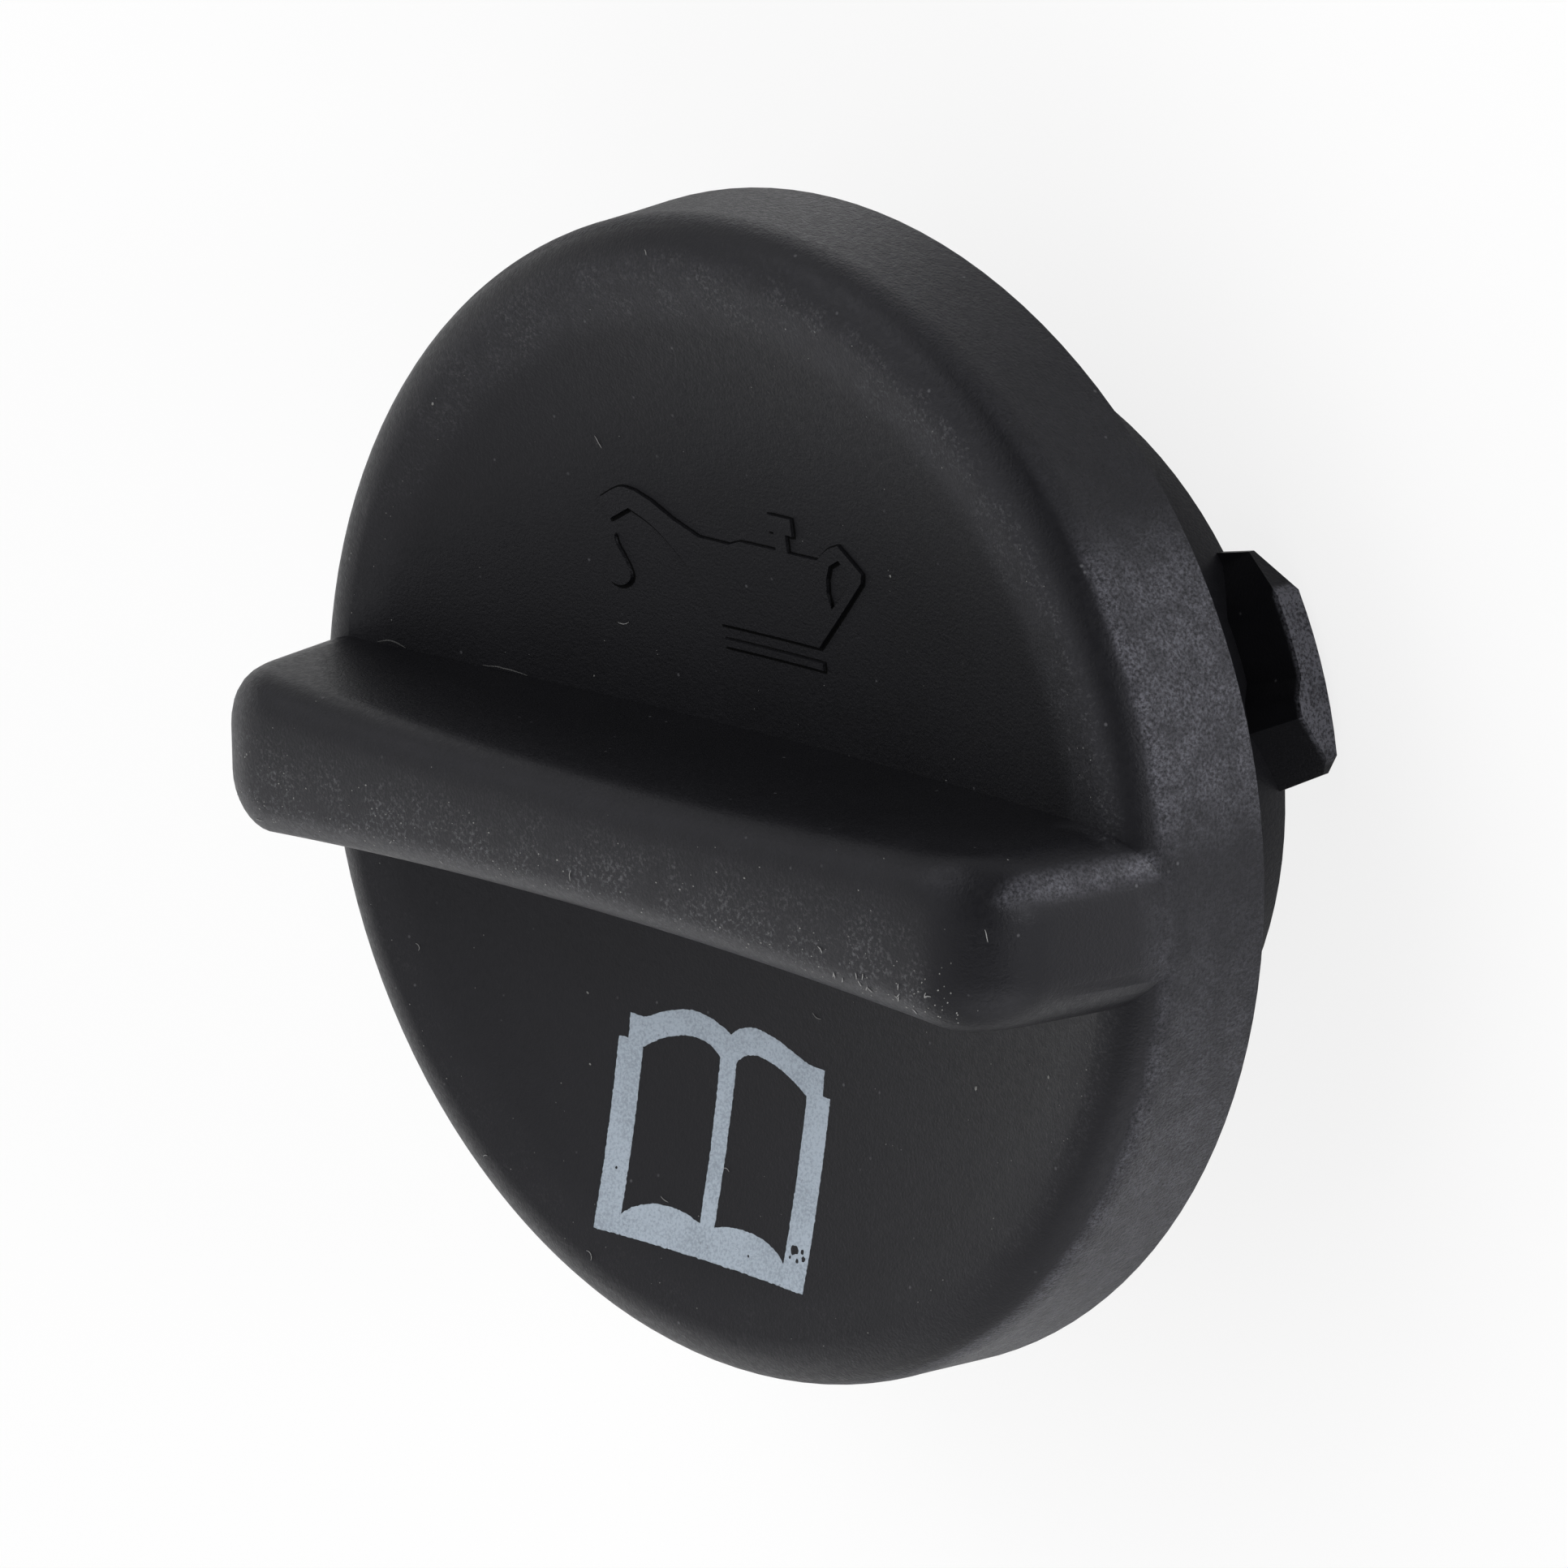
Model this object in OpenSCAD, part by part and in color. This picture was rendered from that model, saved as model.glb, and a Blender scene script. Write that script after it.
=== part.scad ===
// Bayonet oil filler cap: a dished cover with a waisted grip bar, a hollow barrel
// with two cam lugs, and a rubber seal ring at the barrel's root.
// Origin: on the axis, in the plane of the barrel's open end. The cap stands on that end,
// with +Z towards the grip bar and X along the bar.

/* [Cover] */
// Diameter of the skirt at its lower edge
cap_d = 60; // [56:0.5:70]
// Lean of the skirt's wall, in degrees
skirt_draft = 4.6; // [1:0.1:6]
// Thickness of the skirt's wall
skirt_t = 2.3; // [1.6:0.1:3]
// Chamfer on both sides of the skirt's lower edge
skirt_chamfer = 0.4; // [0.2:0.1:0.8]
// Height of the rim's crest above the skirt's lower edge
rim_h = 7.9; // [7:0.1:10]
// Rounding of the rim
rim_round = 2.5; // [1.5:0.1:3]
// Depth of the dish below the rim's crest, at the middle
dish_depth = 3.9; // [2:0.1:4.5]
// Thickness of the cover's plate
plate_t = 2.6; // [2:0.1:3]

/* [Grip bar] */
// Height of the bar's crown above the skirt's lower edge
grip_h = 16.9; // [14:0.1:22]
// Width of the bar at its waist
grip_waist_w = 6.8; // [6:0.1:9]
// Width of the bar at its ends
grip_end_w = 9.3; // [9:0.1:13]
// How far the bar's ends lean in between the rim and the crown
grip_lean = 2.2; // [0.5:0.1:4]
// How far the bar's ends stand proud of the skirt's shoulder
grip_proud = 0.05; // [0.02:0.01:0.3]
// Rounding of the bar's upright corners
grip_corner = 3; // [2.4:0.1:3.6]
// Rounding between the bar's crown and its long sides
crown_side_round = 2; // [1:0.1:2.2]
// Rounding between the bar's crown and its ends
crown_end_round = 3.8; // [2.5:0.1:4.5]
// Wall round the core slot that opens the bar from below
grip_wall = 2.1; // [1.6:0.1:2.3]
// Gap between the core slot's ends and the barrel's bore
core_inset = 1.2; // [0.5:0.1:4]

/* [Barrel] */
// Diameter of the barrel
barrel_d = 41.2; // [38:0.1:44]
// Length of the barrel below the skirt's lower edge
barrel_len = 12.5; // [10:0.1:20]
// Thickness of the barrel's wall
barrel_wall = 2.4; // [2:0.1:3]
// Chamfer round the barrel's open end
barrel_chamfer = 0.5; // [0.2:0.1:0.8]
// Rounding inside the barrel, where its bore meets the cover's plate
bore_round = 1.5; // [0.5:0.1:2.5]

/* [Lugs] */
// Number of lugs
lug_count = 2; // [2:1:3]
// How far each lug reaches out from the barrel
lug_reach = 3.6; // [2.5:0.1:4.5]
// Distance from the barrel's open end to the lugs
lug_setback = 0.6; // [0.6:0.1:4]
// Thickness of each lug at its clamping face
lug_t = 2.1; // [1.8:0.1:3.5]
// Angle from the bar to the middle of the first lug's tip
lug_turn = 17.6; // [0:0.1:80]
// Angle that a lug's tip spans
lug_tip_span = 21.4; // [18:0.1:40]
// Angle by which a lug's root runs past its tip at the leading end
lug_lead = 3.6; // [1:0.1:8]
// Cut across the leading corner of a lug's tip
lug_corner = 0.7; // [0.3:0.1:1.2]
// Angle by which a lug's root runs past its tip at the trailing end
lug_trail = 9.2; // [7:0.1:14]
// How far the knee in a lug's trailing end stands out from the barrel
knee_reach = 1.9; // [1:0.1:2.4]
// Angle by which the knee runs past the lug's tip
knee_turn = 6.8; // [2:0.1:7]
// Length of the lead-in ramp
ramp_l = 2.9; // [2:0.1:4]
// Thickness left at the foot of the ramps at both ends of a lug
ramp_foot = 0.4; // [0.2:0.1:0.8]
// Length of the ramp at a lug's trailing end
tail_l = 2.6; // [2:0.1:3.2]
// Angle that the detent step spans at a lug's trailing end
detent_span = 12; // [6:0.5:16]
// Depth of the detent step below the clamping face
detent_depth = 0.5; // [0.2:0.1:0.8]
// Length of the slope that leads down into the detent step
detent_slope_l = 1; // [0.5:0.1:2]

/* [Seal ring] */
// Thickness of the seal ring
seal_t = 2.6; // [2:0.1:3]
// Height of the ring's lower face above the skirt's lower edge
seal_recess = 0.8; // [0.3:0.1:1.2]
// Rounding of the ring's outer lower edge
seal_round = 0.6; // [0.3:0.1:1]
// Clearance between the ring and the walls of its seat
seal_fit = 0.1; // [0.05:0.05:0.3]
// Width of the relief groove between the ring's seat and the skirt
relief_w = 2.2; // [1.5:0.1:3]

/* [Hidden] */
$fn = 96;
turned_fn = 180;
// Solids that are cut or joined run this far past each other
over = 0.5;

cap_r = cap_d / 2;
edge_z = barrel_len;
crest_z = edge_z + rim_h;
crown_z = edge_z + grip_h;

// The skirt's wall leans in up to the shoulder, where the rim's rounding starts
shoulder_z = crest_z - rim_round;
shoulder_r = cap_r - (shoulder_z - edge_z) * tan(skirt_draft);
rim_centre_r = shoulder_r - rim_round;
// The dish is part of a ball that runs into the rim's rounding without an edge
dish_z = crest_z - dish_depth;
dish_r = (pow(rim_centre_r, 2) + pow(rim_round - dish_depth, 2) - pow(rim_round, 2)) / (2 * dish_depth);
ceiling_z = dish_z - plate_t;

barrel_r = barrel_d / 2;
bore_r = barrel_r - barrel_wall;
lug_r = barrel_r + lug_reach;

skirt_in_r = cap_r - skirt_t;
seat_r = skirt_in_r - relief_w;
seal_z = edge_z + seal_recess;
seat_z = seal_z + seal_t;
relief_z = crest_z - plate_t;

// The bar's long sides bow in to a waist, and its ends stand on the shoulder
grip_foot_x = shoulder_r + grip_proud;
grip_foot_z = ceiling_z + plate_t / 2;
side_steps = 16;
corner_steps = 8;
crown_steps = 10;
crown_round_max = max(crown_side_round, crown_end_round);

function polar(r, a) = [r * cos(a), r * sin(a)];
function mirrored_x(points) = [for (p = points) [-p[0], p[1]]];
function mirrored_y(points) = [for (p = points) [p[0], -p[1]]];
function reversed(points) = [for (i = [len(points) - 1 : -1 : 0]) points[i]];
function without_first(points) = [for (i = [1 : len(points) - 1]) points[i]];

function half_width(x) =
    grip_waist_w / 2 + (grip_end_w - grip_waist_w) / 2 * pow(x / grip_foot_x, 2);

// A quarter of the bar's outline, from an end's flat to the middle of a long side
function quarter_outline(end_x, inset) =
    let (
        round_r = grip_corner - inset,
        corner_x = end_x - round_r,
        corner_y = half_width(corner_x) - inset - round_r
    )
    concat(
        [for (i = [0 : corner_steps])
            [corner_x, corner_y] + polar(round_r, 90 * i / corner_steps)],
        [for (i = [1 : side_steps])
            let (x = corner_x * (1 - i / side_steps)) [x, half_width(x) - inset]]
    );

function half_outline(end_x, inset) =
    let (quarter = quarter_outline(end_x, inset))
    concat(quarter, without_first(reversed(mirrored_x(quarter))));

// The whole outline, counter-clockwise
function bar_outline(end_x, inset) =
    let (upper = half_outline(end_x, inset))
    concat(upper, reversed(mirrored_y(upper)));

// How far a rounding of radius r under the crown has drawn the surface in at height z
function drawn_in(r, z) =
    let (up = max(z - (crown_z - r), 0)) r - sqrt(max(r * r - up * up, 0));

function lean_at(z) = grip_lean * max(z - shoulder_z, 0) / (crown_z - shoulder_z);

function bar_ring(z) =
    let (
        end_x = grip_foot_x - lean_at(z) - drawn_in(crown_end_round, z),
        outline = bar_outline(end_x, drawn_in(crown_side_round, z))
    )
    [for (p = outline) [p[0], p[1], z]];

crown_levels = [for (i = [0 : crown_steps])
    crown_z - crown_round_max * (1 - sin(90 * i / crown_steps))];

// A closed skin through a stack of rings that all have the same number of points. Each ring
// is its own mirror image in the X axis, so its two ends are closed by straight strips.
module loft(rings) {
    n = len(rings[0]);
    last = len(rings) - 1;
    top_n = last * n;
    points = [for (ring = rings) for (p = ring) p];
    sides = [for (k = [0 : last - 1]) for (i = [0 : n - 1])
        let (j = (i + 1) % n)
        [k * n + i, (k + 1) * n + i, (k + 1) * n + j, k * n + j]];
    bottom = [for (i = [0 : n / 2 - 2]) [i, i + 1, n - 2 - i, n - 1 - i]];
    top = [for (strip = bottom) [for (i = reversed(strip)) top_n + i]];
    polyhedron(points, concat(sides, bottom, top), 10);
}

module grip_bar() {
    loft([for (z = concat([grip_foot_z, shoulder_z], crown_levels)) bar_ring(z)]);
}

// The slot that the bar's core leaves, open into the barrel's bore
module core_slot() {
    translate([0, 0, ceiling_z - over])
        linear_extrude(crown_z - grip_wall - ceiling_z + over)
            polygon(bar_outline(bore_r - core_inset, grip_wall));
}

// Half section of the cover and the barrel, before their underside is hollowed
module body_section() {
    difference() {
        union() {
            polygon([
                [0, edge_z],
                [cap_r - skirt_chamfer, edge_z],
                [cap_r, edge_z + skirt_chamfer],
                [shoulder_r, shoulder_z],
                [0, shoulder_z]
            ]);
            translate([0, shoulder_z - over]) square([rim_centre_r, rim_round + over]);
            intersection() {
                translate([rim_centre_r, shoulder_z]) circle(r = rim_round);
                translate([0, shoulder_z - over]) square([cap_r, rim_round + 2 * over]);
            }
            polygon([
                [0, 0],
                [barrel_r - barrel_chamfer, 0],
                [barrel_r, barrel_chamfer],
                [barrel_r, edge_z + over],
                [0, edge_z + over]
            ]);
        }
        translate([0, dish_z + dish_r]) circle(r = dish_r, $fn = 360);
    }
}

module body() {
    rotate_extrude($fn = turned_fn) body_section();
}

// Half section of the ring-shaped space between the barrel and the skirt
module seat_section() {
    translate([barrel_r, edge_z - over]) square([skirt_in_r - barrel_r, seat_z - edge_z + over]);
    translate([seat_r, edge_z - over]) square([relief_w, relief_z - edge_z + over]);
    polygon([
        [skirt_in_r - over, edge_z + skirt_chamfer + over],
        [skirt_in_r - over, edge_z - over],
        [skirt_in_r + skirt_chamfer + over, edge_z - over]
    ]);
}

// Half section of the barrel's bore, with its rounded corner under the plate
module bore_section() {
    translate([0, -over]) square([bore_r, ceiling_z - bore_round + over]);
    translate([0, -over]) square([bore_r - bore_round, ceiling_z + over]);
    intersection() {
        translate([bore_r - bore_round, ceiling_z - bore_round]) circle(r = bore_round);
        square([bore_r, ceiling_z]);
    }
}

module hollows() {
    rotate_extrude($fn = turned_fn) seat_section();
    rotate_extrude($fn = turned_fn) bore_section();
}

// Outline of a lug seen along the axis, with the middle of its tip on the X axis.
// The cap closes clockwise, so the leading end is the one at negative angles.
module lug_outline() {
    tip = lug_tip_span / 2;
    root_point = polar(barrel_r, -tip - lug_lead);
    tip_point = polar(lug_r, -tip);
    edge = root_point - tip_point;
    intersection() {
        circle(r = lug_r, $fn = turned_fn);
        polygon([
            [0, 0],
            root_point,
            tip_point + edge * lug_corner / norm(edge),
            polar(lug_r, -tip + lug_corner / lug_r * 180 / PI),
            polar(lug_r + 2 * over, 0),
            polar(lug_r, tip),
            polar(barrel_r + knee_reach, tip + knee_turn),
            polar(barrel_r, tip + lug_trail)
        ]);
    }
}

// A prism that shaves a lug from above. Its line of touch runs outwards from `from` to `to`
// and on past the lug's tip, and its profile is given as [distance past that line, height].
module shave(from, to, profile) {
    line = to - from;
    translate(from)
        rotate(atan2(line[1], line[0]))
            translate([-over, 0, 0])
                rotate([90, 0, 90])
                    linear_extrude(norm(line) + lug_reach + over) polygon(profile);
}

module lug() {
    tip = lug_tip_span / 2;
    above = lug_t + over;
    fall = (lug_t - ramp_foot) / ramp_l;
    past_end = 2 * lug_r * detent_span * PI / 180;
    difference() {
        linear_extrude(lug_t) lug_outline();
        // Lead-in ramp
        shave(polar(barrel_r - over, -tip - lug_lead), polar(lug_r, -tip), [
            [-over, ramp_foot - over * fall],
            [ramp_l, lug_t],
            [ramp_l, above],
            [-over, above]
        ]);
        // Detent step
        shave(polar(barrel_r - over, tip - detent_span), polar(lug_r, tip - detent_span), [
            [0, lug_t],
            [detent_slope_l, lug_t - detent_depth],
            [past_end, lug_t - detent_depth],
            [past_end, above],
            [0, above]
        ]);
        // Ramp at the trailing end
        shave(polar(barrel_r - over, tip), polar(lug_r, tip), [
            [0, lug_t - detent_depth],
            [tail_l, ramp_foot],
            [past_end, ramp_foot],
            [past_end, above],
            [0, above]
        ]);
    }
}

module cap() color("#2b2b2e") {
    difference() {
        union() {
            body();
            grip_bar();
            for (i = [0 : lug_count - 1])
                translate([0, 0, lug_setback]) rotate(lug_turn + 360 / lug_count * i) lug();
        }
        hollows();
        core_slot();
    }
}

module seal_ring() color("#17181a") {
    inner_r = barrel_r + seal_fit;
    outer_r = seat_r - seal_fit;
    rotate_extrude($fn = turned_fn) {
        translate([inner_r, seal_z + seal_round]) square([outer_r - inner_r, seal_t - seal_round]);
        translate([inner_r, seal_z]) square([outer_r - seal_round - inner_r, seal_t]);
        intersection() {
            translate([outer_r - seal_round, seal_z + seal_round]) circle(r = seal_round);
            translate([inner_r, seal_z]) square([outer_r - inner_r, seal_t]);
        }
    }
}

cap();
seal_ring();
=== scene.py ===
"""Looks of the oil filler cap: grained plastic, a raised oil can, a printed open book, dust, wear, and
painted sheen, highlights and shadows.
"""
import math
import random

import bmesh
import bpy
from mathutils import Matrix, Vector, noise
from mathutils.bvhtree import BVHTree
from mathutils.geometry import delaunay_2d_cdt
from mathutils.kdtree import KDTree


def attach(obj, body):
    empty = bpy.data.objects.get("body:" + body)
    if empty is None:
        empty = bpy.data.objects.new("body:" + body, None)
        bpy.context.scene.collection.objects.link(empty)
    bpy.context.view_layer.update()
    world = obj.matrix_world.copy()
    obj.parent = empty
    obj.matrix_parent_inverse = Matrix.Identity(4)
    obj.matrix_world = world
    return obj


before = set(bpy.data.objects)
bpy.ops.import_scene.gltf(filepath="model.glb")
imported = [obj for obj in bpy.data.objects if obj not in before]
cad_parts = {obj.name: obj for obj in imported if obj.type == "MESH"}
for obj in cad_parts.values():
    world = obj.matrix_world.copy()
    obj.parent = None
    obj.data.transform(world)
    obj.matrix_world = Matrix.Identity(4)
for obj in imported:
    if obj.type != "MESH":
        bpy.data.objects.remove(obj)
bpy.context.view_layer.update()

# Without a seed, noise_vector gives other values at each run
noise.seed_set(1)

MM = 0.001

# The dished face in mm: its lowest point above the origin, and the radius that it is turned to
DISH_Z = 16.5
DISH_R = 93.4774

# The grip bar bows outwards from its waist to its ends, in mm
BAR_END = 29.6
BAR_BOW = 1.25


def dish(x, y):
    """Height of the dished face, in mm."""
    return DISH_Z + DISH_R - math.sqrt(DISH_R ** 2 - x * x - y * y)


def bar_side(x, waist):
    """How far the grip bar's side is from its middle line, in mm, where it is this far at the waist."""
    return waist + BAR_BOW * (x / BAR_END) ** 2


def direction(azimuth, elevation):
    """The way towards an azimuth and an elevation in degrees, as a vector."""
    a, e = math.radians(azimuth), math.radians(elevation)
    return Vector((math.cos(a) * math.cos(e), math.sin(a) * math.cos(e), math.sin(e)))


# Helpers for node trees

class Value:
    """A node's output. Arithmetic with it adds math nodes to the same tree."""

    def __init__(self, tree, socket):
        self.tree = tree
        self.socket = socket

    def math(self, operation, other=0.0):
        node = self.tree.add("ShaderNodeMath", operation=operation)
        self.tree.plug(self, node.inputs[0])
        self.tree.plug(other, node.inputs[1])
        return Value(self.tree, node.outputs[0])

    def __add__(self, other):
        return self.math("ADD", other)

    def __mul__(self, other):
        return self.math("MULTIPLY", other)

    def __truediv__(self, other):
        return self.math("DIVIDE", other)

    __radd__ = __add__
    __rmul__ = __mul__

    def larger(self, other):
        return self.math("MAXIMUM", other)

    def clamped(self):
        """The same sum or product, held between 0 and 1."""
        self.socket.node.use_clamp = True
        return self

    def ramp(self, low, high, to_low=0.0, to_high=1.0):
        """Maps low..high to to_low..to_high, smoothly, and holds the ends."""
        node = self.tree.add("ShaderNodeMapRange", interpolation_type="SMOOTHSTEP")
        self.tree.plug(self, node.inputs["Value"])
        self.tree.plug(low, node.inputs["From Min"])
        self.tree.plug(high, node.inputs["From Max"])
        self.tree.plug(to_low, node.inputs["To Min"])
        self.tree.plug(to_high, node.inputs["To Max"])
        return Value(self.tree, node.outputs["Result"])

    def over(self, start, end, low=0.0, high=1.0):
        """The same for a length, with its start and end in mm."""
        return self.ramp(start * MM, end * MM, low, high)


class Tree:
    """A node tree, with short ways to add nodes and to plug values into them."""

    def __init__(self, tree):
        self.nodes = tree.nodes
        self.links = tree.links

    def add(self, kind, **settings):
        node = self.nodes.new(kind)
        for name, value in settings.items():
            setattr(node, name, value)
        return node

    def output(self, kind, name):
        """A new node's output of this name."""
        return Value(self, self.add(kind).outputs[name])

    def plug(self, value, socket):
        """Gives a socket a number, a colour, a vector or another node's output."""
        if isinstance(value, Value):
            self.links.new(value.socket, socket)
        elif isinstance(value, tuple) and len(value) < len(socket.default_value):
            socket.default_value = (*value, 1)
        else:
            socket.default_value = value


class Surface(Tree):
    """A material whose nodes work from the object's own coordinates."""

    def __init__(self, name):
        self.material = bpy.data.materials.new(name)
        self.material.use_nodes = True
        super().__init__(self.material.node_tree)
        self.nodes.clear()
        self.shader = self.add("ShaderNodeBsdfPrincipled")
        end = self.add("ShaderNodeOutputMaterial")
        self.links.new(self.shader.outputs["BSDF"], end.inputs["Surface"])
        self.spot = self.output("ShaderNodeTexCoord", "Object")

    def noise(self, scale, detail=2.0, rough=0.5):
        node = self.add("ShaderNodeTexNoise")
        self.plug(self.spot, node.inputs["Vector"])
        self.plug(scale, node.inputs["Scale"])
        self.plug(detail, node.inputs["Detail"])
        self.plug(rough, node.inputs["Roughness"])
        return Value(self, node.outputs["Fac"])

    def cells(self, scale):
        """The distance to the nearest of many scattered points, and that point's own random value."""
        node = self.add("ShaderNodeTexVoronoi")
        self.plug(self.spot, node.inputs["Vector"])
        self.plug(scale, node.inputs["Scale"])
        return Value(self, node.outputs["Distance"]), Value(self, node.outputs["Color"])

    def mix(self, share, a, b):
        """Colour a where the share is 0, colour b where it is 1."""
        node = self.add("ShaderNodeMix", data_type="RGBA")
        self.plug(share, node.inputs[0])
        self.plug(a, node.inputs[6])
        self.plug(b, node.inputs[7])
        return Value(self, node.outputs[2])

    def finished(self, color, roughness, relief, depth):
        """The material, with these values and a relief whose depth is given in mm."""
        bump = self.add("ShaderNodeBump")
        self.plug(relief, bump.inputs["Height"])
        self.plug(depth * MM, bump.inputs["Distance"])
        self.plug(color, self.shader.inputs["Base Color"])
        self.plug(roughness, self.shader.inputs["Roughness"])
        self.links.new(bump.outputs["Normal"], self.shader.inputs["Normal"])
        return self.material


# The moulding's plastic

MOULDING = (0.0044, 0.0044, 0.0054)
# Pale grain tips: worn grain on the crest and the bar's top, and painted sheen and a painted highlight on
# the skirt, the lug's tip and the bar's end
SHEEN_AND_RUBBED = (0.072, 0.072, 0.084)
DUST = (0.145, 0.145, 0.155)


class Zones:
    """Parts of the cap as values from 0 to 1. Lengths are in mm and angles in degrees."""

    def __init__(self, surface):
        split = surface.add("ShaderNodeSeparateXYZ")
        surface.plug(surface.spot, split.inputs["Vector"])
        self.x, self.y, self.z = (Value(surface, out) for out in split.outputs)
        self.radius = (self.x * self.x + self.y * self.y).math("SQRT")
        self.wall = self.radius.over(29.0, 29.35)
        on_top = self.z.over(18.6, 19.6) * self.z.over(21.6, 20.7)
        crest = self.radius.over(23.6, 25.6) * self.radius.over(28.4, 27.2)
        self.crest = on_top * crest * self.around(60, 105, 35, 0.15, 0.75)
        self.bar_top = self.z.over(24.5, 28.0) * self.x.over(24.6, 22.6)

    def around(self, azimuth, edge, core, low=0.0, high=1.0):
        """Goes from low to high as a place nears an azimuth, from edge degrees off to core degrees off."""
        a = math.radians(azimuth)
        cosine = (self.x * math.cos(a) + self.y * math.sin(a)) / self.radius
        return cosine.ramp(math.cos(math.radians(edge)), math.cos(math.radians(core)), low, high)


def sheen_and_rubbing(surface, zones):
    """Where the tips of the grain are painted pale: painted sheen on the skirt beside the lug, on its
    lower right side and on the lug's tip, a painted highlight on the bar's end corner, and worn grain on
    the crest and the bar's top.
    """
    x, y, z = zones.x, zones.y, zones.z
    # Painted sheen on the lug's tip
    lug_tip = zones.radius.over(23.8, 24.1) * z.over(6, 4)
    # Painted sheen: the skirt is painted pale beside the lug, and less so on its lower right side
    beside_lug = zones.around(21.5, 17.5, 4, 0.1, 1.05)
    lower_right = zones.around(-40, 50, 12, 0.0, 0.5)
    sides = (beside_lug + lower_right).clamped()
    skirt = (zones.wall * z.over(18.3, 19.0, 0.8, 1.1) + lug_tip * 1.5) * sides
    # A painted highlight along the upper corner of the bar's end
    bar_corner = y.over(2.0, 2.9) * y.over(3.8, 3.1) * x.over(26.4, 27.2) * z.over(18.9, 19.6)
    # Worn grain on the crest and the bar's top
    top = (zones.crest + zones.bar_top * x.over(23, 20, 0.0, 0.3)).clamped()
    uneven = surface.noise(750, 3, 0.6).ramp(0.36, 0.64, 0.68, 1.32)
    tips = surface.noise(6000, 3, 0.7).ramp(0.29, 0.73)
    return ((skirt + bar_corner * 0.85 + top * 0.18) * uneven * tips).clamped()


def dusting(surface, zones):
    """Dust in patches on the crest and the bar's lower edge, and lone grains of it anywhere."""
    bar_edge = zones.y.over(2.8, -2.2) + zones.x.over(-22, -27.5, 0, 0.8)
    dusty = (zones.crest * 0.6 + zones.bar_top * bar_edge).clamped()
    patches = surface.noise(420, 4, 0.65).ramp(0.34, 0.62)
    flecks = surface.noise(4600, 4, 0.75).ramp(0.50, 0.68)
    distance, pick = surface.cells(1400)
    lone = distance.ramp(0.16, 0.06) * (pick * 7.31).math("FRACT").ramp(0.93, 0.97)
    return (dusty * (patches * flecks + 0.10) * 0.6 + lone * 0.35).clamped()


def plastic(name):
    """Dark grained moulding, with dust, wear where hands and rags have been, and painted sheen and a
    painted highlight on the skirt, the lug and the bar's end.

    The skirt's wall is sparked more coarsely than the face."""
    s = Surface(name)
    zones = Zones(s)
    sheen_and_rubbed = sheen_and_rubbing(s, zones)
    dust = dusting(s, zones)
    clouds = s.noise(120, 3, 0.6).ramp(0.35, 0.65)
    grain = s.noise(6200, 3, 0.65)
    coarse = s.noise(3000, 2, 0.6)
    tone = s.mix(clouds, MOULDING, tuple(c * 1.2 for c in MOULDING))
    # Mixes in the pale grain tips, which carry the painted sheen and highlight as well as the wear
    tone = s.mix(dust, s.mix(sheen_and_rubbed, tone, SHEEN_AND_RUBBED), DUST)
    roughness = coarse.ramp(0.3, 0.7, 0.40, 0.50) + zones.wall * 0.1 + dust * 0.3
    relief = grain * (zones.wall * 2.6 + 0.9) + coarse * (zones.wall + 0.3) + dust * 0.8
    s.shader.inputs["Specular IOR Level"].default_value = 0.2
    s.shader.inputs["Specular Tint"].default_value = (0.92, 0.92, 1.0, 1)
    return s.finished(tone, roughness, relief, 0.03)


# The other materials

def rubber(name):
    s = Surface(name)
    grain = s.noise(2600, 3, 0.6)
    tone = s.mix(s.noise(220).ramp(0.3, 0.7), (0.011, 0.011, 0.0115), (0.017, 0.017, 0.0175))
    return s.finished(tone, grain.ramp(0.3, 0.7, 0.55, 0.72), grain, 0.015)


def ink(name):
    """Pale ink that lies thin on the grain, so it is speckled where the grain pokes through."""
    s = Surface(name)
    grain = s.noise(6200, 3, 0.65)
    cover = (grain * 0.7 + s.noise(300, 3, 0.6) * 0.3).ramp(0.36, 0.6)
    pits = s.noise(4200, 2, 0.6).ramp(0.68, 0.76)
    tone = s.mix(cover, (0.22, 0.26, 0.305), (0.34, 0.395, 0.46))
    tone = s.mix(pits * 0.6, tone, (0.12, 0.13, 0.15))
    return s.finished(tone, grain.ramp(0.3, 0.7, 0.55, 0.7), grain, 0.01)


def powdery(name, color):
    """Dull pale stuff for dust, lint and scuffed edges."""
    s = Surface(name)
    grain = s.noise(9000, 3, 0.7)
    tone = s.mix(grain.ramp(0.35, 0.65), tuple(c * 0.7 for c in color), color)
    return s.finished(tone, grain.ramp(0.3, 0.7, 0.8, 0.95), grain, 0.01)


def shadow_paint(name):
    """A painted shadow in a corner: a nearly black sheet."""
    s = Surface(name)
    grain = s.noise(7000, 2, 0.6)
    s.shader.inputs["Specular IOR Level"].default_value = 0.05
    tone = s.mix(grain.ramp(0.35, 0.65), (0.0018, 0.0018, 0.0020), (0.0035, 0.0035, 0.0038))
    return s.finished(tone, grain.ramp(0.3, 0.7, 0.75, 0.9), grain, 0.01)


moulding = plastic("moulding_grained")
seal_rubber = rubber("rubber_seal")
print_ink = ink("pale_ink")
flake_dust = powdery("flake_dust", (0.22, 0.22, 0.215))
fibre = powdery("lint_fibre", (0.26, 0.26, 0.26))
# Painted shadow: a nearly black sheet along the signs' feet
foot_shadow = shadow_paint("dark_grime")
flash_edge = powdery("flash_edge", (0.06, 0.06, 0.06))


# The part's own nodes

def dress_node(name, material):
    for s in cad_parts[name].material_slots:
        s.link = "OBJECT"
        s.material = material


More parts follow.
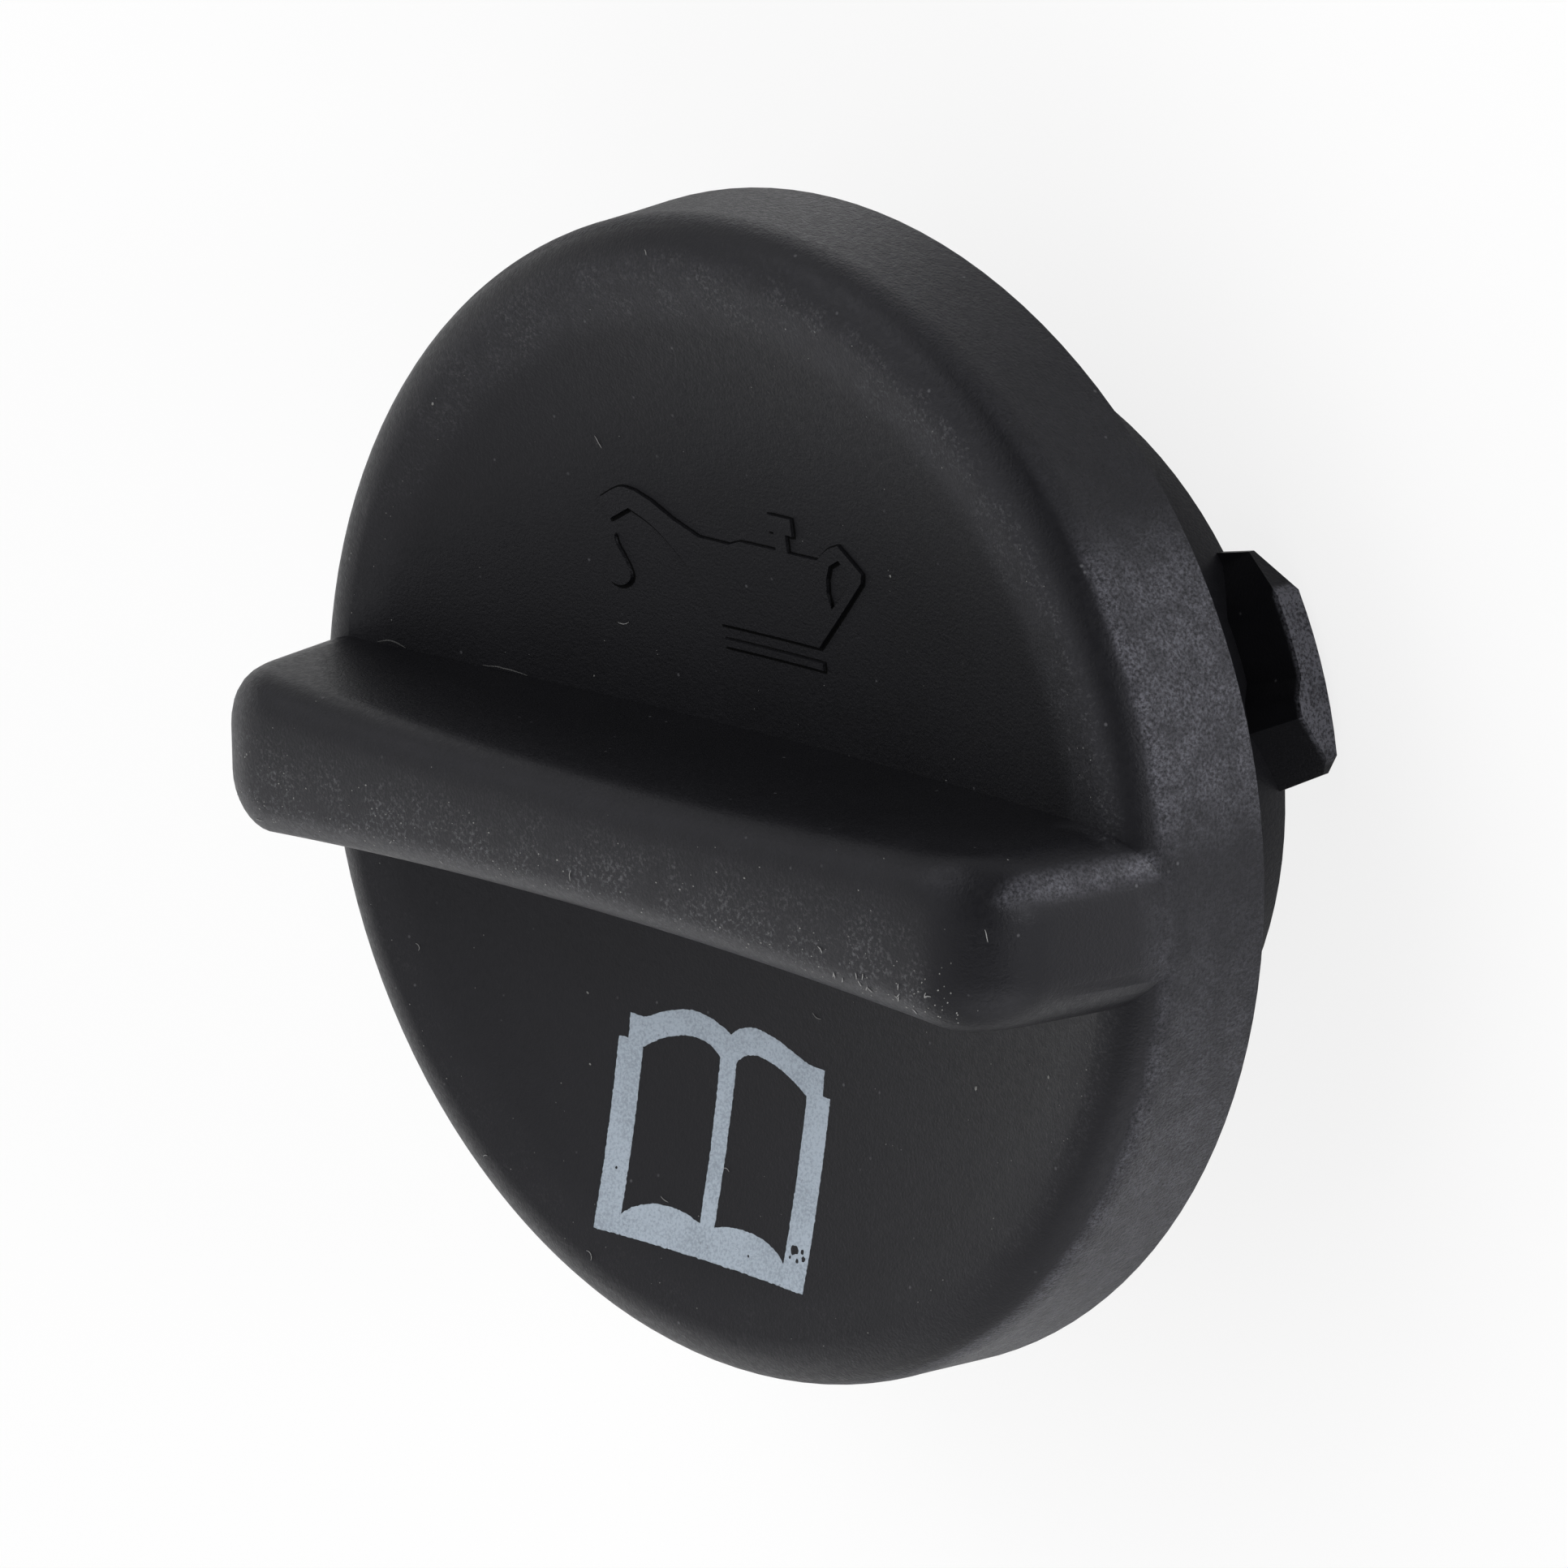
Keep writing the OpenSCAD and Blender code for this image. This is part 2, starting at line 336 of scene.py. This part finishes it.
def smooth_modifier(obj, angle):
    """Welds the node's mesh and shades it smooth, with its edges over the angle in degrees kept sharp."""
    group = bpy.data.node_groups.new("smooth_by_angle", "GeometryNodeTree")
    group.interface.new_socket("Mesh", in_out="INPUT", socket_type="NodeSocketGeometry")
    group.interface.new_socket("Mesh", in_out="OUTPUT", socket_type="NodeSocketGeometry")
    new, link = group.nodes.new, group.links.new
    start, end = new("NodeGroupInput"), new("NodeGroupOutput")
    weld = new("GeometryNodeMergeByDistance")
    weld.inputs["Distance"].default_value = 1e-7
    drop = new("GeometryNodeRemoveAttribute")
    drop.inputs["Name"].default_value = "custom_normal"
    faces = new("GeometryNodeSetShadeSmooth")
    faces.domain = "FACE"
    faces.inputs["Shade Smooth"].default_value = True
    edges = new("GeometryNodeSetShadeSmooth")
    edges.domain = "EDGE"
    edges.inputs["Shade Smooth"].default_value = False
    bent = new("GeometryNodeInputMeshEdgeAngle")
    sharp = new("FunctionNodeCompare")
    sharp.data_type = "FLOAT"
    sharp.operation = "GREATER_THAN"
    sharp.inputs[1].default_value = math.radians(angle)
    for a, b in zip((start, weld, drop, faces), (weld, drop, faces, edges)):
        link(a.outputs[0], b.inputs["Geometry"])
    link(bent.outputs["Unsigned Angle"], sharp.inputs[0])
    link(sharp.outputs[0], edges.inputs["Selection"])
    link(edges.outputs[0], end.inputs[0])
    obj.modifiers.new("smooth", "NODES").node_group = group


for name, material, angle in (("cap", moulding, 28), ("seal_ring", seal_rubber, 35)):
    dress_node(name, material)
    smooth_modifier(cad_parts[name], angle)


# Pieces of the scene's own

def new_piece(name, bm, material):
    """A piece on the part's one body, made from a bmesh."""
    mesh = bpy.data.meshes.new(name)
    bm.to_mesh(mesh)
    bm.free()
    mesh.materials.append(material)
    obj = bpy.data.objects.new(name, mesh)
    bpy.context.scene.collection.objects.link(obj)
    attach(obj, "root")


# Outlines of the signs, in mm

def straight(points, step=0.3):
    """Points spaced along a polyline, without its last one."""
    out = []
    for a, b in zip(points, points[1:]):
        a, b = Vector(a), Vector(b)
        n = max(1, round((b - a).length / step))
        out += [a.lerp(b, k / n) for k in range(n)]
    return out


def bend(points, step=0.2):
    """Points spaced along a smooth curve through the given ones, without its last one."""
    p = [Vector(q) for q in (points[0], *points, points[-1])]
    out = []
    for a, b, c, d in zip(p, p[1:], p[2:], p[3:]):
        n = max(2, round((c - b).length / step))
        for k in range(n):
            t = k / n
            out.append(0.5 * (2 * b + (c - a) * t + (2 * a - 5 * b + 4 * c - d) * t * t
                              + (3 * b - a - 3 * c + d) * t ** 3))
    return out


def area_of(outline):
    return sum(outline[i - 1].cross(outline[i]) for i in range(len(outline))) / 2


def inside(point, outline):
    x, y = point
    hit = False
    for i in range(len(outline)):
        (x1, y1), (x2, y2) = outline[i - 1], outline[i]
        if (y1 > y) != (y2 > y) and x < (x2 - x1) * (y - y1) / (y2 - y1) + x1:
            hit = not hit
    return hit


def on_plate(point, outlines):
    """Whether a point is inside the first outline and in none of the holes that follow it."""
    return inside(point, outlines[0]) and not any(inside(point, hole) for hole in outlines[1:])


def inward(outline):
    """For each point of an outline that has the plate on its left, the way into the plate."""
    out = []
    for i in range(len(outline)):
        along = (outline[(i + 1) % len(outline)] - outline[i - 1]).normalized()
        out.append(Vector((-along.y, along.x)))
    return out


def grown(outline, by, shift):
    """An outline moved outwards, and then shifted as a whole."""
    sign = -1 if area_of(outline) > 0 else 1
    return [p + way * by * sign + Vector(shift) for p, way in zip(outline, inward(outline))]


def worn_edge(outline, size, seed):
    """An outline whose edge wanders a little, as ink does on a grained surface."""
    out = []
    for p in outline:
        w = noise.noise_vector(Vector((p.x * 5, p.y * 5, seed)))
        w += noise.noise_vector(Vector((p.x * 14, p.y * 14, seed + 9))) * 0.8
        out.append(p + Vector((w.x, w.y)) * size)
    return out


# Plates that follow the dished face

def lattice(outlines, cell, clear):
    """Points of a square grid on the plate, at least this clear of its rims."""
    rims = [p for outline in outlines for p in outline]
    near = KDTree(len(rims))
    for i, p in enumerate(rims):
        near.insert((*p, 0), i)
    near.balance()
    xs = [p.x for p in outlines[0]]
    ys = [p.y for p in outlines[0]]
    grid = []
    for i in range(int((max(xs) - min(xs)) / cell) + 1):
        for j in range(int((max(ys) - min(ys)) / cell) + 1):
            p = Vector((min(xs) + i * cell, min(ys) + j * cell))
            if near.find((*p, 0))[2] > clear and on_plate(p, outlines):
                grid.append(p)
    return grid


def plate_on_dish(outer, holes, below, above, cell, draft=0.0):
    """A thin closed plate that follows the dished face, cut to outlines, as a bmesh.

    Its top is drawn in by the draft all round, so its edges slope. All lengths are in mm."""
    outlines = [outer if area_of(outer) > 0 else outer[::-1]]
    outlines += [h if area_of(h) < 0 else h[::-1] for h in holes]
    points, edges, ways = [], [], []
    for outline in outlines:
        start, n = len(points), len(outline)
        points += outline
        ways += inward(outline)
        edges += [(start + i, start + (i + 1) % n) for i in range(n)]
    points += lattice(outlines, cell, max(2 * draft, cell / 2))
    flat, _, triangles, origins, *_ = delaunay_2d_cdt(points, edges, [], 0, 1e-6)
    kept = [t for t in triangles if on_plate(sum((flat[i] for i in t), Vector((0, 0))) / 3, outlines)]

    bm = bmesh.new()
    top, low = {}, {}
    for i in sorted({i for t in kept for i in t}):
        p = flat[i]
        on_rim = origins[i] and origins[i][0] < len(ways)
        drawn = p + ways[origins[i][0]] * draft if on_rim else p
        top[i] = bm.verts.new((*(drawn * MM), (dish(*drawn) + above) * MM))
        low[i] = bm.verts.new((*(p * MM), (dish(*p) - below) * MM))
    sides = set()
    for a, b, c in kept:
        if (flat[b] - flat[a]).cross(flat[c] - flat[a]) < 0:
            b, c = c, b
        bm.faces.new((top[a], top[b], top[c]))
        bm.faces.new((low[a], low[c], low[b]))
        sides |= {(a, b), (b, c), (c, a)}
    for u, v in sides:
        if (v, u) not in sides:
            bm.faces.new((low[u], low[v], top[v], top[u]))
    return bm


# The raised oil can, without the word that the photo's has, its drop and the bar below it

CAN = (
    bend([(-9.62, 14.1), (-8.7, 14.65), (-7.98, 14.93), (-7.1, 14.85)])
    + straight([(-7.1, 14.85), (-6.06, 14.45), (-4.76, 13.73), (-3.06, 13.05), (-1.0, 13.0), (-0.2, 13.28),
                (2.35, 13.28), (2.35, 14.12), (1.95, 14.12), (1.95, 15.08), (3.72, 15.08), (3.72, 14.1),
                (3.24, 14.1), (3.24, 13.26), (5.3, 13.28)])
    + bend([(5.3, 13.28), (6.1, 13.95), (7.0, 14.32)])
    + straight([(7.0, 14.32), (8.62, 13.13), (8.5, 12.6), (4.94, 8.63), (-2.05, 8.63), (-3.0, 9.9)])
    + bend([(-3.0, 9.9), (-4.3, 11.5), (-6.1, 13.0), (-7.64, 13.75)])
    + straight([(-7.64, 13.75), (-8.99, 12.99), (-9.62, 14.1)])
)
CAN_HANDLE = straight([(6.9, 13.44), (6.22, 13.05), (5.94, 12.37), (5.88, 11.63), (6.1, 10.92),
                       (7.5, 12.45), (7.62, 12.9), (6.9, 13.44)])
DROP = bend([(-8.81, 12.3), (-8.68, 11.8), (-8.31, 11.21), (-8.0, 10.6), (-7.93, 10.1), (-8.26, 9.71),
             (-8.82, 9.53), (-9.36, 9.69), (-9.54, 10.2), (-9.3, 10.9), (-8.98, 11.5), (-8.81, 12.3)])
TRAY = straight([(-1.9, 7.5), (5.15, 7.5), (5.15, 7.97), (-1.9, 7.97), (-1.9, 7.5)])

# How far the signs stand up and reach down into the face, how far their tops are drawn in, and how
# large the cells of their mesh are, in mm
SIGN_HEIGHT = 0.18
SIGN_SUNK = 0.1
SIGN_DRAFT = 0.06
SIGN_CELL = 0.8
# How high the painted shadow along their feet is, how far it reaches out, and how it is shifted
FOOT_SHADOW_HEIGHT = 0.012
FOOT_SHADOW_WIDTH = 0.09
FOOT_SHADOW_SHIFT = (0.01, -0.05)
# How far the painted shadow and the ink reach down into the face
INK_SUNK = 0.05


def raised(name, outer, holes=()):
    """A sign that stands up from the face, with a painted shadow along its foot: a dark sheet, wider on
    the lower side.
    """
    sign = plate_on_dish(outer, holes, SIGN_SUNK, SIGN_HEIGHT, SIGN_CELL, SIGN_DRAFT)
    new_piece(name, sign, moulding)
    around = grown(outer, FOOT_SHADOW_WIDTH, FOOT_SHADOW_SHIFT)
    between = [grown(h, -FOOT_SHADOW_WIDTH, FOOT_SHADOW_SHIFT) for h in holes]
    foot = plate_on_dish(around, between, INK_SUNK, FOOT_SHADOW_HEIGHT, SIGN_CELL)
    new_piece(name + "_grime", foot, foot_shadow)


raised("sign_can", CAN, [CAN_HANDLE])
raised("sign_drop", DROP)
raised("sign_tray", TRAY)


# The printed open book, without the letter on its right page

BOOK_STEP = 0.1
INK_HEIGHT = 0.015
INK_CELL = 0.5
BOOK = (
    bend([(-8.19, -12.66), (-7.1, -12.67), (-6.0, -12.2), (-4.3, -11.77), (-2.7, -11.9),
          (-1.28, -12.42)], BOOK_STEP)
    + bend([(-1.28, -12.42), (-0.7, -12.0), (0.4, -11.75), (1.9, -11.97), (3.5, -12.45), (4.5, -12.7),
            (5.53, -12.72)], BOOK_STEP)
    + straight([(5.53, -12.72), (5.57, -14.02), (6.12, -14.05), (6.14, -23.77), (-8.75, -23.82),
                (-8.81, -13.99), (-8.17, -13.98), (-8.19, -12.66)], BOOK_STEP)
)
LEFT_PAGE = (
    bend([(-7.15, -14.25), (-6.0, -13.6), (-4.6, -13.15), (-3.5, -13.08), (-2.6, -13.25),
          (-1.86, -13.72)], BOOK_STEP)
    + straight([(-1.86, -13.72), (-1.78, -22.12)], BOOK_STEP)
    + bend([(-1.78, -22.12), (-2.8, -21.85), (-3.9, -21.76), (-5.2, -21.88), (-6.2, -22.2),
            (-7.1, -22.75)], BOOK_STEP)
    + straight([(-7.1, -22.75), (-7.15, -14.25)], BOOK_STEP)
)
RIGHT_PAGE = (
    bend([(-0.72, -13.72), (-0.2, -13.3), (0.7, -13.08), (1.9, -13.25), (3.1, -13.65),
          (4.44, -14.28)], BOOK_STEP)
    + straight([(4.44, -14.28), (4.42, -22.68)], BOOK_STEP)
    + bend([(4.42, -22.68), (3.8, -22.25), (2.7, -21.88), (1.4, -21.76), (0.1, -21.87),
            (-0.75, -22.1)], BOOK_STEP)
    + straight([(-0.75, -22.1), (-0.72, -13.72)], BOOK_STEP)
)
# Places where the ink has come off: x, y and radius
CHIPS = [(5.05, -21.83, 0.26), (5.62, -21.8, 0.12), (5.75, -22.12, 0.15), (5.35, -22.3, 0.11),
         (4.8, -22.25, 0.08), (-7.9, -20.6, 0.08), (1.9, -22.9, 0.07)]
EDGE_WANDER = 0.04


def chip(x, y, r, seed):
    angles = [math.tau * k / 16 for k in range(16)]
    return worn_edge([Vector((x + r * math.cos(a), y + r * math.sin(a))) for a in angles], 0.3 * r, seed)


pages = [worn_edge(LEFT_PAGE, EDGE_WANDER, 2), worn_edge(RIGHT_PAGE, EDGE_WANDER, 3)]
chips = [chip(x, y, r, 4 + i) for i, (x, y, r) in enumerate(CHIPS)]
book = plate_on_dish(worn_edge(BOOK, EDGE_WANDER, 1), pages + chips, INK_SUNK, INK_HEIGHT, INK_CELL)
new_piece("sign_book", book, print_ink)


# Dust, lint and flash, which lie on the cap's skin

bpy.context.view_layer.update()
cap_skin = BVHTree.FromObject(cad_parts["cap"], bpy.context.evaluated_depsgraph_get())


def skin_below(x, y):
    """The cap's surface and its normal right below a place given in mm."""
    spot, normal, *_ = cap_skin.ray_cast(Vector((x * MM, y * MM, 0.05)), Vector((0, 0, -1)))
    return spot, normal


def loose_piece(name, bm, material):
    bmesh.ops.recalc_face_normals(bm, faces=bm.faces)
    new_piece(name, bm, material)


rng = random.Random(4)


def any_angle():
    """A random direction, in radians."""
    return rng.uniform(0, 6.28)


def add_flake(bm, spot, normal, size):
    """A thin chip with an uneven outline, lying on the surface."""
    turn = normal.to_track_quat("Z", "Y").to_matrix()
    n = rng.randint(5, 8)
    start = any_angle()
    outline = []
    for i in range(n):
        angle = start + math.tau * i / n
        reach = size * rng.uniform(0.55, 1)
        outline.append(Vector((reach * math.cos(angle), 0.7 * reach * math.sin(angle), 0)))
    up = Vector((0, 0, size))
    low = [bm.verts.new(spot + turn @ (p - up * 0.1)) for p in outline]
    top = [bm.verts.new(spot + turn @ (p * 0.75 + up * rng.uniform(0.15, 0.3))) for p in outline]
    bm.faces.new(low[::-1])
    bm.faces.new(top)
    for i in range(n):
        j = (i + 1) % n
        bm.faces.new((low[i], low[j], top[j], top[i]))


def add_strand(bm, path, radius, sides=6):
    """A closed tube along a path, thinner towards its ends."""
    if len(path) < 3:
        return
    angles = [math.tau * k / sides for k in range(sides)]
    rings = []
    for i, p in enumerate(path):
        along = (path[min(i + 1, len(path) - 1)] - path[max(i - 1, 0)]).normalized()
        turn = along.to_track_quat("Z", "Y").to_matrix()
        r = radius * (0.35 + 0.65 * math.sin(math.pi * (i + 0.3) / (len(path) - 0.4)))
        rims = [Vector((r * math.cos(a), r * math.sin(a), 0)) for a in angles]
        rings.append([bm.verts.new(p + turn @ rim) for rim in rims])
    for a, b in zip(rings, rings[1:]):
        for k in range(sides):
            m = (k + 1) % sides
            bm.faces.new((a[k], a[m], b[m], b[k]))
    bm.faces.new(rings[0][::-1])
    bm.faces.new(rings[-1])


# A path's step over the skin, the longest that a drop may make it, and how far off the skin lint lies,
# in mm
STEP = 0.1
LONGEST_STEP = 0.13
LINT_LIFT = 0.03


def wandering(x, y, length, curl):
    """A path over the cap's skin from a place in mm, which ends early where the skin drops away."""
    heading = any_angle()
    turn = rng.uniform(-curl, curl)
    path = []
    for _ in range(max(4, round(length / STEP))):
        spot, normal = skin_below(x, y)
        if path and (spot - path[-1]).length > LONGEST_STEP * MM:
            break
        path.append(spot + normal * LINT_LIFT * MM)
        turn += rng.uniform(-curl, curl) * 0.5
        heading += turn * 0.35
        x += STEP * math.cos(heading)
        y += STEP * math.sin(heading)
    return path


def bar_lower_edge(x):
    """Where the crown's rounding ends on the bar's lower side, in mm."""
    return -bar_side(x, 2.6)


def near_bar_edge():
    """Somewhere on the crown's rounding, more often near the bar's ends."""
    x = rng.choice((-1, 1)) * 25.2 * (1 - rng.random() ** 1.4)
    return x, bar_lower_edge(x) + rng.expovariate(0.7)


def near_crest():
    angle = any_angle()
    r = rng.gauss(26.2, 0.7)
    return r * math.cos(angle), r * math.sin(angle)


def on_face():
    angle = any_angle()
    r = 26 * math.sqrt(rng.random())
    return r * math.cos(angle), r * math.sin(angle)


# How many flakes lie at each kind of place, and their size in mm
FLAKES = [(near_bar_edge, 190, 0.075), (near_crest, 80, 0.055), (on_face, 90, 0.045)]
# The largest specks that the photo shows: x, y and size in mm
SPECKS = [(10.6, 13.4, 0.12), (12.0, 1.0, 0.1), (-11.1, -12.2, 0.12), (-19.5, 17.7, 0.13),
          (-10.5, -15.8, 0.09), (16.9, -10.8, 0.16), (22.6, -8.7, 0.17)]


def flakes():
    bm = bmesh.new()
    for place, count, size in FLAKES:
        for _ in range(count):
            add_flake(bm, *skin_below(*place()), size * rng.uniform(0.5, 1.1) * MM)
    for x, y, size in SPECKS:
        add_flake(bm, *skin_below(x, y), size * MM)
    return bm


def lint():
    """Short fibres: most near the bar's end by the lug, a few along the bar, on the face and the crest."""
    bm = bmesh.new()
    for _ in range(16):
        x = rng.uniform(17, 24)
        y = bar_lower_edge(x) + rng.uniform(0, 1.6)
        add_strand(bm, wandering(x, y, rng.uniform(0.2, 0.5), 0.9), 0.028 * MM)
    for _ in range(4):
        x = rng.uniform(-25, 15)
        y = bar_lower_edge(x) + rng.uniform(0, 2.5)
        add_strand(bm, wandering(x, y, rng.uniform(0.3, 0.8), 0.9), 0.022 * MM)
    for _ in range(5):
        add_strand(bm, wandering(*on_face(), rng.uniform(0.3, 0.9), 0.6), 0.02 * MM)
    for _ in range(5):
        add_strand(bm, wandering(*near_crest(), rng.uniform(0.3, 0.8), 0.8), 0.022 * MM)
    return bm


# Thin flash left along the parting line at the bar's foot: its start and end along the bar and how far
# it stands off the bar, in mm
FLASH = [(-24.6, -22.9, 0.22), (-18.2, -15.4, 0.1)]
FLASH_STEP = 0.15
FLASH_LIFT = 0.02
FLASH_RADIUS = 0.035
BAR_FOOT = 3.4


def flash():
    bm = bmesh.new()
    for start, end, stand in FLASH:
        path = []
        n = round((end - start) / FLASH_STEP)
        for i in range(n + 1):
            x = start + (end - start) * i / n
            uneven = 1 + 0.4 * noise.noise(Vector((x * 1.7, 0, 0)))
            off = 0.04 + stand * math.sin(math.pi * i / n) * uneven
            spot, normal = skin_below(x, bar_side(x, BAR_FOOT) + off)
            path.append(spot + normal * FLASH_LIFT * MM)
        add_strand(bm, path, FLASH_RADIUS * MM)
    return bm


loose_piece("dust_flakes", flakes(), flake_dust)
loose_piece("lint", lint(), fibre)
loose_piece("flash_line", flash(), flash_edge)


# The table

FLOOR_SIZE = 3
FLOOR_WHITE = (0.85, 0.85, 0.85)
# The share of plain white that the camera and reflections see in place of the lit floor
FLOOR_GLOW = 0.8
# In reflections the ring of the table that lies in the skirt's shade is dim. In mm from the axis, where it
# starts to dim, where it is dimmest, and where it ends, with the least share of light that is left
RING_STARTS = 21.3
RING_DIMMEST = (22.8, 33)
RING_ENDS = 40
RING_LEAST = 0.1


def floor_material():
    """White to the camera and in reflections, but a plain lit floor for all other light."""
    material = bpy.data.materials.new("floor_white")
    material.use_nodes = True
    tree = Tree(material.node_tree)
    tree.nodes.clear()
    path = tree.add("ShaderNodeLightPath")
    camera, glossy, through = (Value(tree, path.outputs[f"Is {kind} Ray"])
                               for kind in ("Camera", "Glossy", "Transmission"))
    reach = tree.add("ShaderNodeVectorMath", operation="LENGTH")
    tree.plug(tree.output("ShaderNodeTexCoord", "Object"), reach.inputs[0])
    reach = Value(tree, reach.outputs["Value"])
    inner, outer = RING_DIMMEST
    shade = reach.over(inner, RING_STARTS, RING_LEAST).larger(reach.over(outer, RING_ENDS, RING_LEAST))
    seen = (camera.larger(glossy).larger(through) * shade).larger(camera)

    diffuse, glow = tree.add("ShaderNodeBsdfDiffuse"), tree.add("ShaderNodeEmission")
    tree.plug(FLOOR_WHITE, diffuse.inputs["Color"])
    mix, end = tree.add("ShaderNodeMixShader"), tree.add("ShaderNodeOutputMaterial")
    tree.plug(seen * FLOOR_GLOW, mix.inputs["Fac"])
    tree.links.new(diffuse.outputs[0], mix.inputs[1])
    tree.links.new(glow.outputs[0], mix.inputs[2])
    tree.links.new(mix.outputs[0], end.inputs["Surface"])
    return material


bpy.ops.mesh.primitive_plane_add(size=FLOOR_SIZE)
floor = bpy.context.object
floor.name = "floor"
floor.data.materials.append(floor_material())


# The camera, at the photo's angle: it looks down on the face and is turned until the part's +Y is up

CAMERA_AZIMUTH = 21.34
CAMERA_ELEVATION = 42.85
CAMERA_TURN = -105.19
CAMERA_DISTANCE = 327.8
CAMERA_AIM = Vector((-2.81, -0.72, 11.98))
FOCAL_LENGTH_PX = 8000
FRAME_PX = 1932
SENSOR = 36


def place_camera():
    camera = bpy.data.objects.new("camera", bpy.data.cameras.new("camera"))
    bpy.context.scene.collection.objects.link(camera)
    back = direction(CAMERA_AZIMUTH, CAMERA_ELEVATION)
    level = direction(CAMERA_AZIMUTH + 90, 0)
    right = Matrix.Rotation(math.radians(CAMERA_TURN), 3, back) @ level
    turned = Matrix((right, back.cross(right), back)).transposed().to_4x4()
    camera.matrix_world = Matrix.Translation((CAMERA_AIM + back * CAMERA_DISTANCE) * MM) @ turned
    camera.data.sensor_width = SENSOR
    camera.data.lens = FOCAL_LENGTH_PX / FRAME_PX * SENSOR
    camera.data.clip_start = 0.02
    camera.data.clip_end = 10
    bpy.context.scene.camera = camera


place_camera()


# Lamps

def place_lamp(name, spot, facing, size, radiance):
    """A round lamp at a place in mm, facing along a direction. Only its light is seen."""
    lamp = bpy.data.objects.new(name, bpy.data.lights.new(name, "AREA"))
    bpy.context.scene.collection.objects.link(lamp)
    lamp.data.shape = "DISK"
    lamp.data.size = size * MM
    lamp.data.energy = radiance * math.pi * math.pi * (size * MM) ** 2 / 4
    lamp.location = Vector(spot) * MM
    lamp.rotation_mode = "QUATERNION"
    lamp.rotation_quaternion = (-Vector(facing)).to_track_quat("Z", "Y")
    lamp.visible_camera = False


# A small softbox low on the right, which draws the sheen on the skirt beside the lug
SHEEN = direction(12, 13)
place_lamp("lamp_sheen", SHEEN * 500 + Vector((0, 0, 20)), -SHEEN, 100, 42)

# Light that comes up from the bright table: x, y and size in mm, and radiance
TABLE_GLOW = [(56, 20, 22, 8.0), (52, -8, 22, 1.2), (16, -52, 22, 1.4), (37, -32, 26, 1.5),
              (-9, 49, 30, 1.4)]
for i, (x, y, size, radiance) in enumerate(TABLE_GLOW):
    place_lamp(f"lamp_table_{i}", (x, y, 1), (0, 0, 1), size, radiance)


# The light tent

# Azimuth and elevation of each soft patch on its walls in degrees, and its strength
TENT = [(180, 6, 1.5), (225, 6, 2.4), (315, 6, 3.0), (112, 33, 2.7), (202, 33, 0.3), (292, 33, 2.0),
        (180, 60, 0.7), (250, 60, 0.8), (120, 60, 1.3), (0, 90, 0.35)]
# How far from its middle a patch is at full strength, and gone, in degrees
PATCH_CORE = 10
PATCH_EDGE = 32


def light_tent():
    world = bpy.data.worlds.new("light_tent")
    world.use_nodes = True
    tree = Tree(world.node_tree)
    way = tree.output("ShaderNodeTexCoord", "Generated")
    total = 0.0
    for azimuth, elevation, strength in TENT:
        cosine = tree.add("ShaderNodeVectorMath", operation="DOT_PRODUCT")
        tree.plug(way, cosine.inputs[0])
        cosine.inputs[1].default_value = direction(azimuth, elevation)
        edge, core = math.cos(math.radians(PATCH_EDGE)), math.cos(math.radians(PATCH_CORE))
        total = Value(tree, cosine.outputs["Value"]).ramp(edge, core, 0.0, strength) + total
    # The camera sees plain white behind everything
    seen = total.larger(tree.output("ShaderNodeLightPath", "Is Camera Ray"))
    background = world.node_tree.nodes["Background"]
    tree.plug((1, 1, 1), background.inputs["Color"])
    tree.plug(seen, background.inputs["Strength"])
    bpy.context.scene.world = world


light_tent()

bpy.context.scene.view_settings.view_transform = "Standard"
